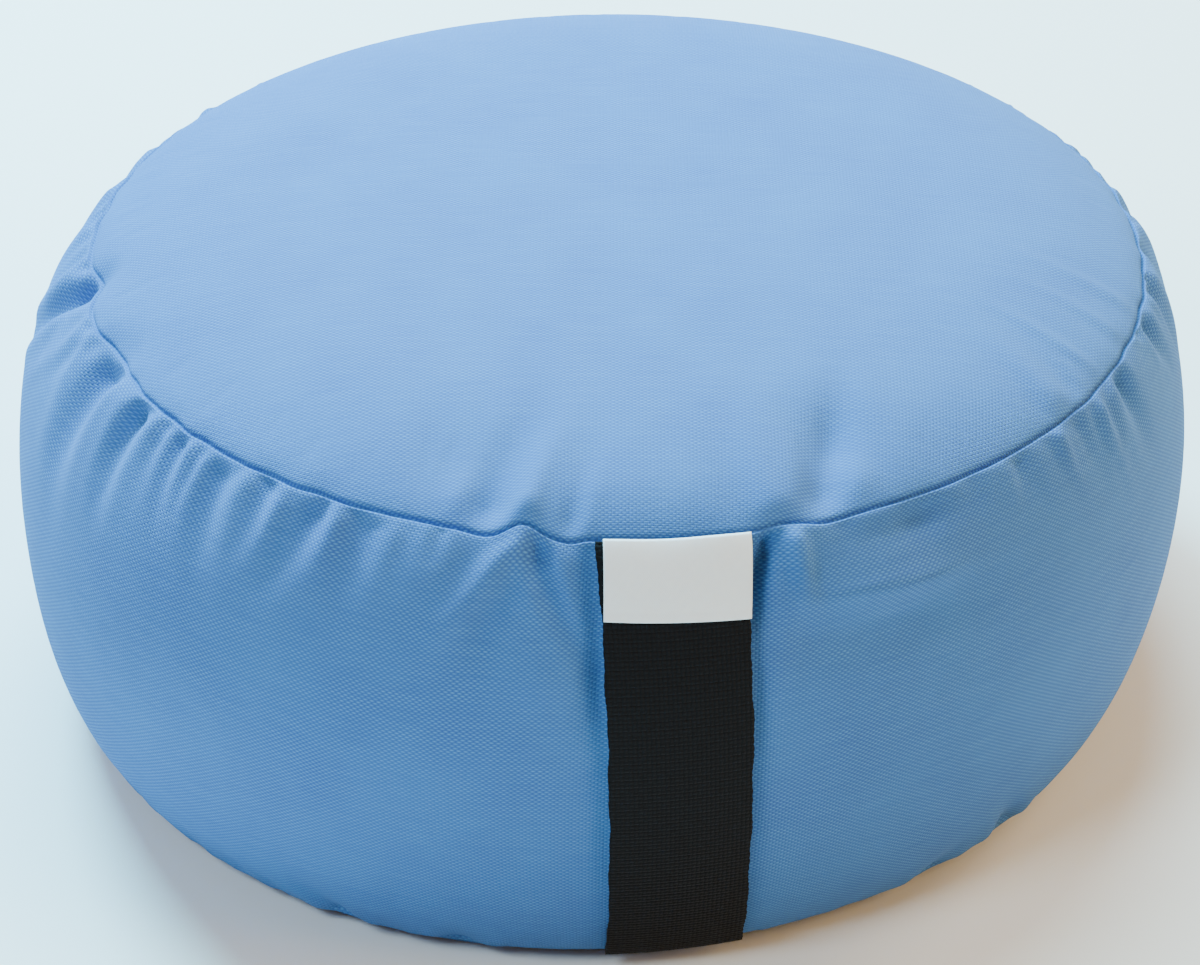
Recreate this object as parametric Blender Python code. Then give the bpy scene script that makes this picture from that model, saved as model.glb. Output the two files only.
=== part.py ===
"""A zafu: a round, firmly stuffed sitting cushion with a webbing handle and a satin label.

Metres, +Z up. The origin is the centre of the base on the floor, and the handle faces -Y.
Angles go round from the handle: positive towards +X, so that 90 degrees is the +X side.
"""

import math

import bmesh
import bpy
from mathutils import Vector

# ---- driving dimensions of the stuffed cushion ----
WIDTH = 0.342  # across the widest part of the band
CROWN_Z = 0.153  # top of the dome
TOP_SEAM_RADIUS = 0.152
TOP_SEAM_Z = 0.134
BASE_SEAM_RADIUS = 0.155
BASE_SEAM_Z = 0.0045
FLAT_RADIUS = 0.149  # the base lies flat on the floor inside this
RIM_ROLL = 0.2  # height of the rolled rim, as a share of the base seam's height

# ---- how the filling has settled ----
LEAN = 0.005  # the top panel sits this far towards +X of the base
SET_BACK = 0.0025  # and this far towards +Y
HIGH_SIDE_DEG = -10  # the top is highest towards this angle
HIGH_RISE = 0.005  # the top seam is this much higher on that side, and lower opposite
FULL_SIDE_DEG = -62  # the filling is fullest towards this angle
FULL_SWELL = 0.02  # the belly is this share wider along that line, and narrower across it

# ---- how each panel curves ----
CROWN_POWER = 3.4  # above 2, so that the dome is flatter in the middle than a ball
SEAM_SINK = 0.0055  # how deep the top seam draws the top panel down
SEAM_ROLL = 0.0085  # how far from the seam the top panel is rolled down into it
BULGE_POWER = 0.66  # under 1, so that the band turns out quickly from its seams
BULGE_AT = 0.47  # share of the way down where the band is widest

# ---- the mesh ----
SEGMENTS = 216
CROWN_SHARES = (0.0, 0.24, 0.46, 0.65, 0.80, 0.90, 0.95, 0.98, 1.0)
BAND_STEPS = 16
STEP_DEG = 360 / SEGMENTS
SHARP_DEG = 20

# ---- handle and label ----
WEBBING_WIDTH = 0.0381
WEBBING_THICK = 0.0016
LABEL_WIDTH = 0.0381
LABEL_DROP = 0.0225
LABEL_THICK = 0.001
LABEL_SHIFT = 0.0014  # the label is sewn this far to the right of the webbing
HANDLE_TOP_X = -0.0024  # the webbing's middle at the top seam; at the base it is on the centre line
PIECE_GAP = 0.0004
SEAM_TUCK = 0.0012  # the sewn ends stop this far from the seam line
STRAP_HALF_DEG = 7.6  # the cloth is held flat under the webbing up to here
STRAP_FADE_DEG = 1.8
STRIP_COLUMNS = 8

# The main folds, each starting at a seam and drifting by its slant, in degrees, over its reach. One with a
# negative depth is a ridge. The dome's folds run up the top panel. Width, depth and reach are in mm.
FOLDS = [
    dict(seam="top", at=-106, width=6.0, depth=4.0, reach=38, slant=8),
    dict(seam="top", at=-90, width=5.4, depth=8.0, reach=46, slant=-12),
    dict(seam="top", at=-81, width=4.0, depth=-1.6, reach=44, slant=-12),
    dict(seam="top", at=-74, width=6.5, depth=6.2, reach=54, slant=2),
    dict(seam="top", at=-64.5, width=4.2, depth=4.2, reach=46, slant=1),
    dict(seam="top", at=-57, width=4.0, depth=2.6, reach=34, slant=3),
    dict(seam="top", at=-50.3, width=4.6, depth=3.8, reach=44, slant=3),
    dict(seam="top", at=-38.2, width=5.0, depth=3.8, reach=46, slant=-7),
    dict(seam="top", at=-32, width=4.6, depth=3.0, reach=40, slant=-3),
    dict(seam="top", at=-17.6, width=4.8, depth=-3.4, reach=60, slant=-19),
    dict(seam="top", at=-15.0, width=4.0, depth=3.6, reach=40, slant=8),
    dict(seam="top", at=10.0, width=4.0, depth=-1.8, reach=34, slant=3),
    dict(seam="top", at=24, width=6.0, depth=1.4, reach=26, slant=-2),
    dict(seam="top", at=50.6, width=4.0, depth=-1.6, reach=46, slant=6),
    dict(seam="top", at=57, width=4.4, depth=3.2, reach=42, slant=4),
    dict(seam="top", at=68, width=4.0, depth=2.6, reach=34, slant=6),
    dict(seam="top", at=76, width=4.2, depth=3.4, reach=40, slant=3),
    dict(seam="dome", at=-20.8, width=5.2, depth=3.4, reach=52, slant=3),
    dict(seam="dome", at=-16.6, width=4.0, depth=-1.6, reach=44, slant=4),
    dict(seam="dome", at=8, width=5.5, depth=-1.4, reach=48, slant=4),
    dict(seam="dome", at=13.8, width=5.8, depth=3.6, reach=54, slant=17),
    dict(seam="base", at=-34, width=5.0, depth=2.8, reach=16, slant=-4),
    dict(seam="base", at=-22, width=6.0, depth=2.2, reach=14, slant=3),
    dict(seam="base", at=30, width=6.0, depth=2.2, reach=18, slant=2),
    dict(seam="base", at=41, width=5.0, depth=3.2, reach=34, slant=-6),
]

FOLD_DEEPEST = 0.14  # share of its reach where a fold is deepest
FOLD_FADE = 1.5  # how fast it then dies away
FOLD_RIDGE = 0.30  # height of the low ridges on both sides of a fold, as a share of its depth
FOLD_CURVE = 1.5  # above 1, so that a fold starts straight off its seam and slants later

# The back is gathered in the same way, evenly but for a small change from fold to fold.
BACK_FROM_DEG, BACK_TO_DEG, BACK_FOLDS = 84, 262, 19
BACK_WIDTH, BACK_DEPTH, BACK_REACH = 6.4, 2.4, 36

# Dents, and puffs where the depth is negative. inward: mm from the top seam, across the top panel.
# below: mm from the top seam, down the band. turned: degrees from lying along the seam.
DENTS = [
    dict(inward=19, at=-26, along=13, across=12, depth=2.2, turned=-25),
    dict(inward=12, at=-6, along=24, across=8, depth=-0.7, turned=0),
    dict(inward=22, at=18.4, along=10, across=14, depth=3.0, turned=-25),
    dict(inward=8, at=31, along=22, across=10, depth=0.8, turned=0),
    dict(below=13, at=-24.5, along=10, across=10, depth=-1.0, turned=0),
    dict(below=24, at=-18.5, along=6, across=12, depth=1.5, turned=15),
    dict(below=35, at=-13.2, along=9, across=9, depth=-1.3, turned=0),
    dict(below=36, at=-11.4, along=5, across=18, depth=2.2, turned=0),
    dict(below=12, at=6.8, along=5, across=15, depth=4.0, turned=0),
    dict(below=20, at=19.5, along=25, across=8, depth=-3.6, turned=3),
    dict(below=32, at=19, along=28, across=8, depth=2.6, turned=2),
    dict(below=7, at=23, along=18, across=5, depth=2.2, turned=0),
    dict(below=62, at=-30, along=60, across=26, depth=-1.0, turned=0),
    dict(below=26, at=-96, along=62, across=20, depth=-2.4, turned=0),
    dict(below=84, at=-98, along=70, across=28, depth=2.0, turned=0),
]

# Places where the top seam itself is drawn in or out, and up or down. Width is in degrees, the rest in mm.
SEAM_PULLS = [
    dict(at=-90, width=3.4, inward=3.8, up=-1.6),
    dict(at=-82, width=3, inward=-1.0, up=0.3),
    dict(at=-73.5, width=4, inward=2.4, up=-0.8),
    dict(at=-20.5, width=2.6, inward=-0.7, up=-0.9),
    dict(at=-16.8, width=2.2, inward=1.7, up=2.9),
    dict(at=-12.2, width=2.2, inward=-0.5, up=-0.8),
    dict(at=8.6, width=2.2, inward=0.5, up=0.9),
    dict(at=13.4, width=3.2, inward=-0.5, up=-0.7),
]
PULL_REACH = 14  # mm either side of the seam

BLUE = (0.150, 0.345, 0.640, 1)
BLACK = (0.012, 0.012, 0.013, 1)
WHITE = (0.780, 0.790, 0.800, 1)


def clear_scene():
    for obj in list(bpy.data.objects):
        bpy.data.objects.remove(obj, do_unlink=True)


def material(name, colour, roughness):
    made = bpy.data.materials.new(name)
    made.use_nodes = True
    shader = made.node_tree.nodes["Principled BSDF"]
    shader.inputs["Base Color"].default_value = colour
    shader.inputs["Roughness"].default_value = roughness
    shader.inputs["Metallic"].default_value = 0.0
    made.diffuse_color = colour
    return made


def add_object(name, bm, look):
    mesh = bpy.data.meshes.new(name)
    bm.to_mesh(mesh)
    bm.free()
    mesh.shade_smooth()
    mesh.set_sharp_from_angle(angle=math.radians(SHARP_DEG))
    mesh.materials.append(look)
    obj = bpy.data.objects.new(name, mesh)
    bpy.context.collection.objects.link(obj)
    return obj


def smooth(x):
    x = min(max(x, 0.0), 1.0)
    return x * x * (3 - 2 * x)


def turn_between(angle, other):
    """Degrees from one angle to another, the short way round."""
    return (angle - other + 180) % 360 - 180


# ---- the meridian: one line from the top of the dome, down the band, to the edge of the flat base ----


def crown_station(share):
    """A point of the top panel, at a share of its radius."""
    radius = TOP_SEAM_RADIUS * share
    rise = CROWN_Z - TOP_SEAM_Z - SEAM_SINK
    from_seam = TOP_SEAM_RADIUS - radius
    groove = SEAM_SINK * (1 - math.exp(-from_seam / SEAM_ROLL))
    height = TOP_SEAM_Z + rise * (1 - share**CROWN_POWER) + groove
    return dict(panel="top", r=radius, z=height, inward=1000 * from_seam)


def band_station(step):
    """A point of the band. The steps are closer together near the seams, where it curves most."""
    share = (1 - math.cos(math.pi * step / BAND_STEPS)) / 2
    if share < BULGE_AT:
        phase = 0.5 * share / BULGE_AT
    else:
        phase = 0.5 + 0.5 * (share - BULGE_AT) / (1 - BULGE_AT)
    straight = TOP_SEAM_RADIUS + (BASE_SEAM_RADIUS - TOP_SEAM_RADIUS) * share
    widest = TOP_SEAM_RADIUS + (BASE_SEAM_RADIUS - TOP_SEAM_RADIUS) * BULGE_AT
    bulge = (WIDTH / 2 - widest) * max(math.sin(math.pi * phase), 0.0) ** BULGE_POWER
    return dict(panel="band", r=straight + bulge, z=TOP_SEAM_Z + (BASE_SEAM_Z - TOP_SEAM_Z) * share)


def base_stations():
    """The rim of the base panel, rolling under to the floor."""
    middle = (BASE_SEAM_RADIUS + 2 * FLAT_RADIUS) / 3
    return [
        dict(panel="base", r=middle, z=BASE_SEAM_Z * RIM_ROLL),
        dict(panel="base", r=FLAT_RADIUS, z=0.0),
    ]


def meridian():
    stations = [crown_station(share) for share in CROWN_SHARES]
    below = 0.0
    for step in range(1, BAND_STEPS + 1):
        station = band_station(step)
        last = stations[-1]
        below += 1000 * math.hypot(station["r"] - last["r"], station["z"] - last["z"])
        station["below"] = below
        stations.append(station)
    for station in stations:
        if station["panel"] == "band":
            station["above"] = below - station["below"]
    return stations + base_stations()


STATIONS = meridian()
TOP_SEAM = len(CROWN_SHARES) - 1
BASE_SEAM = TOP_SEAM + BAND_STEPS


# ---- where the stuffed cloth lies, off the turned form ----


def back_folds():
    """Folds round the back, spaced by rule and varied by a slow wave."""
    rows = []
    for i in range(BACK_FOLDS):
        wave = math.sin(2.4 * i + 0.7)
        rows.append(
            dict(
                seam="top",
                at=BACK_FROM_DEG + (BACK_TO_DEG - BACK_FROM_DEG) * i / (BACK_FOLDS - 1) + 1.6 * wave,
                width=BACK_WIDTH + 0.7 * wave,
                depth=BACK_DEPTH + 0.7 * math.sin(1.7 * i),
                reach=BACK_REACH + 8 * math.cos(3.1 * i),
                slant=3 * math.sin(0.9 * i),
            )
        )
    return rows


ALL_FOLDS = FOLDS + back_folds()


def fold_depth(angle, station):
    """How far the folds draw the cloth in, in mm."""
    total = 0.0
    for fold in ALL_FOLDS:
        run = station.get({"top": "below", "base": "above", "dome": "inward"}[fold["seam"]])
        if run is None or run >= fold["reach"]:
            continue
        share = run / fold["reach"]
        off = turn_between(angle, fold["at"] + fold["slant"] * share**FOLD_CURVE)
        sideways = abs(1000 * station["r"] * math.radians(off) / fold["width"])
        if sideways < 5:
            valley = math.exp(-(sideways**2)) - FOLD_RIDGE * math.exp(-(((sideways - 1.7) / 0.8) ** 2))
            total += fold["depth"] * valley * smooth(share / FOLD_DEEPEST) * (1 - share) ** FOLD_FADE
    return total


def dent_depth(angle, station):
    """How far the dents press the cloth in, in mm."""
    total = 0.0
    for dent in DENTS:
        place = "inward" if "inward" in dent else "below"
        if place not in station:
            continue
        along = 1000 * station["r"] * math.radians(turn_between(angle, dent["at"]))
        down = station[place] - dent[place]
        turned = math.radians(dent["turned"])
        u = (along * math.cos(turned) + down * math.sin(turned)) / dent["along"]
        v = (down * math.cos(turned) - along * math.sin(turned)) / dent["across"]
        total += dent["depth"] * math.exp(-u * u - v * v)
    return total


def webbing_middle(station):
    """The angle of the webbing's centre line at a station: it hangs straight although the band leans."""
    risen = min(station["z"] / TOP_SEAM_Z, 1.0)
    return math.degrees(math.asin((HANDLE_TOP_X * risen - LEAN * risen**3) / max(station["r"], 0.1)))


def held_flat(angle, station):
    """0 under the webbing, which holds the band flat, rising to 1 beside it."""
    off = abs(turn_between(angle, webbing_middle(station)))
    return smooth((off - STRAP_HALF_DEG) / STRAP_FADE_DEG)


def seam_pull(angle, station):
    """(inward, up) in mm, from the places where the seam is drawn in."""
    run = station.get("inward", station.get("below", PULL_REACH))
    near = 1 - smooth(run / PULL_REACH)
    inward = up = 0.0
    for pull in SEAM_PULLS:
        share = math.exp(-((turn_between(angle, pull["at"]) / pull["width"]) ** 2)) * near
        inward += pull["inward"] * share
        up += pull["up"] * share
    return inward, up


def slope(index):
    """The outward normal of the turned form at a station, as (out, up)."""
    before = STATIONS[max(index - 1, 0)]
    after = STATIONS[min(index + 1, len(STATIONS) - 1)]
    out, up = before["z"] - after["z"], after["r"] - before["r"]
    length = math.hypot(out, up)
    return out / length, up / length


def settled(angle, index):
    """Where the cloth lies at an angle in degrees and a station of the meridian."""
    station = STATIONS[index]
    out, up = slope(index)
    beside = held_flat(angle, station)
    depth = dent_depth(angle, station) + fold_depth(angle, station)
    if index >= TOP_SEAM:
        depth *= beside
    pull_in, pull_up = seam_pull(angle, station)
    radius = station["r"] - (depth * out + pull_in * beside) / 1000
    height = station["z"] + (pull_up * beside - depth * up) / 1000
    risen = min(station["z"] / TOP_SEAM_Z, 1.0)
    from_high = math.radians(turn_between(angle, HIGH_SIDE_DEG))
    height += HIGH_RISE * math.cos(from_high) * risen * station["r"] / TOP_SEAM_RADIUS
    from_full = math.radians(turn_between(angle, FULL_SIDE_DEG))
    radius *= 1 + FULL_SWELL * math.cos(2 * from_full) * (1 - risen**4)
    around = math.radians(angle)
    x = radius * math.sin(around) + LEAN * risen**3
    y = -radius * math.cos(around) + SET_BACK * risen**3
    return Vector((x, y, max(height, 0.0)))


# ---- the pieces ----


def make_cushion(look):
    """The meridian spun round, then settled: one closed filled form."""
    bm = bmesh.new()
    mark = bm.verts.layers.int.new("station")
    line = []
    for index, station in enumerate(STATIONS):
        vert = bm.verts.new((0.0, -station["r"], station["z"]))
        vert[mark] = index
        line.append(vert)
    edges = [bm.edges.new(pair) for pair in zip(line, line[1:])]
    bmesh.ops.spin(
        bm,
        geom=line + edges,
        cent=(0, 0, 0),
        axis=(0, 0, 1),
        angle=2 * math.pi,
        steps=SEGMENTS,
        use_merge=True,
    )
    bmesh.ops.remove_doubles(bm, verts=bm.verts[:], dist=1e-6)
    rim = [edge for edge in bm.edges if edge.is_boundary]
    bmesh.ops.contextual_create(bm, geom=rim)
    for vert in bm.verts:
        angle = math.degrees(math.atan2(vert.co.x, -vert.co.y))
        vert.co = settled(round(angle / STEP_DEG) * STEP_DEG, vert[mark])
    bmesh.ops.recalc_face_normals(bm, faces=bm.faces[:])
    return add_object("cushion", bm, look)


def on_facets(angle, place):
    """The cushion's own surface between its points, at an angle and a fractional station."""
    column = math.floor(angle / STEP_DEG)
    row = min(int(place), BASE_SEAM - 1)
    side, down = angle / STEP_DEG - column, place - row
    upper = settled(column * STEP_DEG, row).lerp(settled((column + 1) * STEP_DEG, row), side)
    lower = settled(column * STEP_DEG, row + 1).lerp(settled((column + 1) * STEP_DEG, row + 1), side)
    return upper.lerp(lower, down)


def station_at(below):
    """The fractional station at a distance down the band, in metres."""
    run = [0.0] + [STATIONS[i]["below"] / 1000 for i in range(TOP_SEAM + 1, BASE_SEAM + 1)]
    for i in range(BAND_STEPS):
        if below <= run[i + 1]:
            return TOP_SEAM + i + (below - run[i]) / (run[i + 1] - run[i])
    return float(BASE_SEAM)


def sewn_strip(name, look, width, start, end, lift, thickness, shift=0.0):
    """A strip laid on the front of the band, lifted off it by a gap, with the band's own facets."""
    first, last = station_at(start), station_at(end)
    rows = [first] + [float(i) for i in range(math.ceil(first + 0.05), math.ceil(last - 0.05))] + [last]
    bm = bmesh.new()
    grid = []
    for place in rows:
        near = STATIONS[round(place)]
        across = [shift + width * (k / STRIP_COLUMNS - 0.5) for k in range(STRIP_COLUMNS + 1)]
        angles = [webbing_middle(near) + math.degrees(math.asin(x / near["r"])) for x in across]
        grid.append([bm.verts.new(on_facets(angle, place)) for angle in angles])
    for upper, lower in zip(grid, grid[1:]):
        for k in range(len(upper) - 1):
            bm.faces.new((upper[k], lower[k], lower[k + 1], upper[k + 1]))
    bm.normal_update()
    for vert, normal in [(v, v.normal.copy()) for v in bm.verts]:
        vert.co += normal * lift
    obj = add_object(name, bm, look)
    solid = obj.modifiers.new("webbing thickness", "SOLIDIFY")
    solid.thickness = thickness
    solid.offset = 1
    solid.use_even_offset = True
    return obj


def main():
    clear_scene()
    make_cushion(material("canvas", BLUE, 0.9))
    band_length = STATIONS[BASE_SEAM]["below"] / 1000
    sewn_strip(
        "handle",
        material("webbing", BLACK, 0.8),
        WEBBING_WIDTH,
        SEAM_TUCK,
        band_length - SEAM_TUCK,
        PIECE_GAP,
        WEBBING_THICK,
    )
    sewn_strip(
        "label",
        material("satin", WHITE, 0.35),
        LABEL_WIDTH,
        SEAM_TUCK,
        LABEL_DROP,
        2 * PIECE_GAP + WEBBING_THICK,
        LABEL_THICK,
        LABEL_SHIFT,
    )


main()
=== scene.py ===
# %% [markdown]
# A zafu: a round, firmly stuffed sitting cushion.
#
# On the real object a round top panel, a long side band and a round base panel are cut from canvas. The
# band is longer than the rim it is sewn to, so it is eased in with small gathers, and those gathers give
# the cushion its character. A strip of black webbing is caught in both seams as a handle, and a satin
# label is caught in the top seam over it.
#
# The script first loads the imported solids. They give the real size and place of everything, and nothing
# here moves them.

# %% Load the solids and keep their box
import math

import bmesh
import bpy
import numpy as np
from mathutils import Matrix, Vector


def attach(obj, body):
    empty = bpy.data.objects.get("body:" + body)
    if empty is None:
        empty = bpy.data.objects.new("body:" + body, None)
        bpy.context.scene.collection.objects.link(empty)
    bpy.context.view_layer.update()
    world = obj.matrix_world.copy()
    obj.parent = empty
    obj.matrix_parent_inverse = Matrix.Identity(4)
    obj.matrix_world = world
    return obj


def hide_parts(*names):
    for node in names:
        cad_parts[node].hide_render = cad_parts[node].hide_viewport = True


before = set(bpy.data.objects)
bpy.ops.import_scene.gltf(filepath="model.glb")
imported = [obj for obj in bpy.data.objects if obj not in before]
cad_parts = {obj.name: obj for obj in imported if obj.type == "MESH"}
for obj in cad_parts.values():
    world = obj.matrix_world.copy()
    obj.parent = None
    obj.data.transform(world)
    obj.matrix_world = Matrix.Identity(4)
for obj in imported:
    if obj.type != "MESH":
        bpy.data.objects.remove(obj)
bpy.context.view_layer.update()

# %% [markdown]
# The camera comes before the shapes, so that each later step can be looked at from the same place.
#
# The cushion was seen from well above, a little to the left of its handle, through a long lens. How much
# narrower the webbing looks at the base than at the top says how far off the camera stood: about seven
# and a half times the cushion's radius. A long lens keeps the round top from looking egg-shaped.

# %% Camera
PHOTO_WIDE = 1200  # pixels across the photograph, which the lens is worked out for
SENSOR_MM = 36
FOCAL_PX = 4080
CAMERA_RISE = math.radians(36.55)
CAMERA_TURN = math.radians(-7.4)
CAMERA_AWAY = 1.256
CAMERA_AIM = Vector((0, 0, 0.0548))


def back_vector(turn, rise):
    """The direction from the object towards a viewer."""
    return Vector((math.sin(turn) * math.cos(rise), -math.cos(turn) * math.cos(rise), math.sin(rise)))


camera = bpy.data.objects.new("camera", bpy.data.cameras.new("camera"))
camera.data.sensor_width = SENSOR_MM
camera.data.lens = FOCAL_PX * SENSOR_MM / PHOTO_WIDE
camera.location = back_vector(CAMERA_TURN, CAMERA_RISE) * CAMERA_AWAY
camera.rotation_euler = (CAMERA_AIM - camera.location).to_track_quat("-Z", "Y").to_euler()
camera.data.clip_start, camera.data.clip_end = 0.05, 20
bpy.context.collection.objects.link(camera)
bpy.context.scene.camera = camera
print("camera lens", round(camera.data.lens, 1), "mm at", [round(v, 3) for v in camera.location])

# %% [markdown]
# A stuffed round cushion is nearly a turned form, so its surface can be described by one line, the
# meridian: from the middle of the top, over the dome, into the top seam, down the band, and under to the
# flat base. Spinning that line gives the whole skin in a single step, with neat rows and columns.
#
# The seams are where the panels are drawn in. The top panel rolls steeply down into its seam, because
# stuffing pushes it up and the seam holds it back. So the line has most of its points there.

# %% Sizes of the stuffed form, in metres
MM = 1000  # millimetres in a metre: the tables of folds and dents are in millimetres
WIDTH = 0.342
CROWN_Z = 0.153
TOP_SEAM_RADIUS = 0.152
TOP_SEAM_Z = 0.134
BASE_SEAM_RADIUS = 0.155
BASE_SEAM_Z = 0.0045
FLAT_RADIUS = 0.149
CROWN_POWER = 3.4  # how square-shouldered the dome is
SEAM_SINK, SEAM_ROLL = 0.0062, 0.0085  # how deep the top panel dips at its seam, and over what length
BULGE_POWER, BULGE_AT = 0.66, 0.47  # how full the band is, and how far down it is fullest
GROOVE_DEEP, GROOVE_WIDE = 0.0010, 0.00034  # the narrow cleft of a plain seam
print("stuffed form", WIDTH, "m across the band and", CROWN_Z, "m high")


# %% The curved lines of the top panel and the band
def crown_line(shares):
    """(radius, height, metres in from the seam) of the top panel, from the middle to the seam."""
    inward = TOP_SEAM_RADIUS * (1 - shares)
    rise = CROWN_Z - TOP_SEAM_Z - SEAM_SINK
    roll = SEAM_SINK * (1 - np.exp(-inward / SEAM_ROLL))
    return np.c_[TOP_SEAM_RADIUS * shares, TOP_SEAM_Z + rise * (1 - shares**CROWN_POWER) + roll, inward]


def band_line(shares):
    """(radius, height) of the band, from the top seam to the base seam, with the seams' own points."""
    early = shares < BULGE_AT
    phase = np.where(early, 0.5 * shares / BULGE_AT, 0.5 + 0.5 * (shares - BULGE_AT) / (1 - BULGE_AT))
    straight = TOP_SEAM_RADIUS + (BASE_SEAM_RADIUS - TOP_SEAM_RADIUS) * shares
    widest = TOP_SEAM_RADIUS + (BASE_SEAM_RADIUS - TOP_SEAM_RADIUS) * BULGE_AT
    bulge = (WIDTH / 2 - widest) * np.maximum(np.sin(np.pi * phase), 0) ** BULGE_POWER
    return np.c_[straight + bulge, TOP_SEAM_Z + (BASE_SEAM_Z - TOP_SEAM_Z) * shares]


def lengths(points):
    """How far along a line each of its points lies."""
    return np.r_[0, np.cumsum(np.hypot(*np.diff(points, axis=0).T))]


FINE_SHARES = np.linspace(0, 1, 4001) ** 2  # closest together at the top seam, where the band curves most
fine_runs = lengths(band_line(FINE_SHARES))
band_long = fine_runs[-1]


def band_shares(runs):
    """The share of the way down at which the band has run these lengths from the top seam."""
    return np.interp(runs * band_long, fine_runs, FINE_SHARES)


print("band is", round(MM * band_long, 1), "mm from seam to seam")

# %% The whole line, from the middle of the top to the middle of the base
ELSEWHERE = 1.0  # among the distances from a seam, marks a station that isn't on that panel


def whole_line(crown_shares, band_runs):
    """Every station of the meridian as named arrays: place, slope, and how far it is from each seam."""
    crown, band = crown_line(crown_shares), band_line(band_shares(band_runs))
    # under the cushion: the rounded edge, the rim of the flat part, and one row inside it
    middle = (BASE_SEAM_RADIUS + 2 * FLAT_RADIUS) / 3
    base = np.array([[middle, 0.2 * BASE_SEAM_Z], [FLAT_RADIUS, 0.0], [0.6 * FLAT_RADIUS, 0.0]])
    places = np.r_[crown[:, :2], band[1:], base]
    inward, top, below = np.full((3, len(places)), ELSEWHERE)
    inward[: len(crown)] = crown[:, 2]
    on_band = slice(len(crown) - 1, len(crown) - 1 + len(band))
    top[on_band] = band_long * band_runs
    below[on_band] = band_long * (1 - band_runs)
    slope = np.gradient(places, axis=0)
    length = np.maximum(np.hypot(slope[:, 0], slope[:, 1]), 1e-9)
    return dict(
        r=places[:, 0],
        z=places[:, 1],
        out=-slope[:, 1] / length,
        up=slope[:, 0] / length,
        inward=inward,
        top=top,
        base=below,
        flat=lengths(places),
    )


SEGMENTS = 600
CROWN_ROWS, BAND_ROWS = ((34, 84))
CROWDING = 2.2
# points crowd towards a seam, where the cloth turns most sharply
crown_shares = 1 - np.linspace(1, 0, CROWN_ROWS) ** CROWDING
meridian = whole_line(crown_shares, (1 - np.cos(np.linspace(0, np.pi, BAND_ROWS + 1))) / 2)
TOP_SEAM = CROWN_ROWS - 1
BASE_SEAM = TOP_SEAM + BAND_ROWS
print(len(meridian["r"]), "stations, the seams at", TOP_SEAM, "and", BASE_SEAM)

# %% [markdown]
# Stuffing never fills a cover evenly. Here the top seam is 5 mm higher in front than in the middle and as
# much lower behind, it sits a few millimetres to the right, and the band is fuller at the front left.
#
# The rest is folds. Each is a row of a short table: where it starts on the seam, how wide and deep it is,
# how far it reaches, and how it slants. A fold is a valley between two low ridges, because the cloth that
# leaves the valley has to go somewhere. A table is chosen over a noise texture because the folds beside
# the handle are what an owner would know this cushion by.

# %% How the filling has settled
# sides are in degrees round from the handle, to the right as seen from the front
LEAN, SET_BACK, LEAN_POWER = 0.005, 0.0025, 3  # the top's place to the right and back of the base
HIGH_SIDE, HIGH_RISE = -10, 0.005
FULL_SIDE, FULL_SWELL, SWELL_POWER = -62, 0.02, 4  # a share of the radius, dying out at the top seam
print("top seam leans", MM * LEAN, "mm right and", MM * SET_BACK, "mm back")

# %% Where the webbing lies, which the folds keep clear of
WEBBING_WIDTH, WEBBING_THICK, PIECE_GAP = 0.0381, 0.0016, 0.0004
HANDLE_TOP_X, HANDLE_BASE_X = -0.0015, 0.0004
STRAP_HALF, STRAP_FADE = 7.6, 1.8  # degrees each side that stay flat, and over which the folds come in
print("webbing", round(MM * WEBBING_WIDTH, 1), "mm wide, flat cloth under it for", 2 * STRAP_HALF, "degrees")

# %% The main folds
FOLD_DEEPEST = 0.14  # the share of its reach at which a fold is at its deepest
FOLD_FADE, FOLD_CURVE = 1.5, 1.5  # powers: how it fades out, and how late its slant shows
FOLD_RIDGE, RIDGE_AT, RIDGE_WIDE = 0.30, 1.7, 0.8  # a share of the fold's depth, then in fold widths

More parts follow.
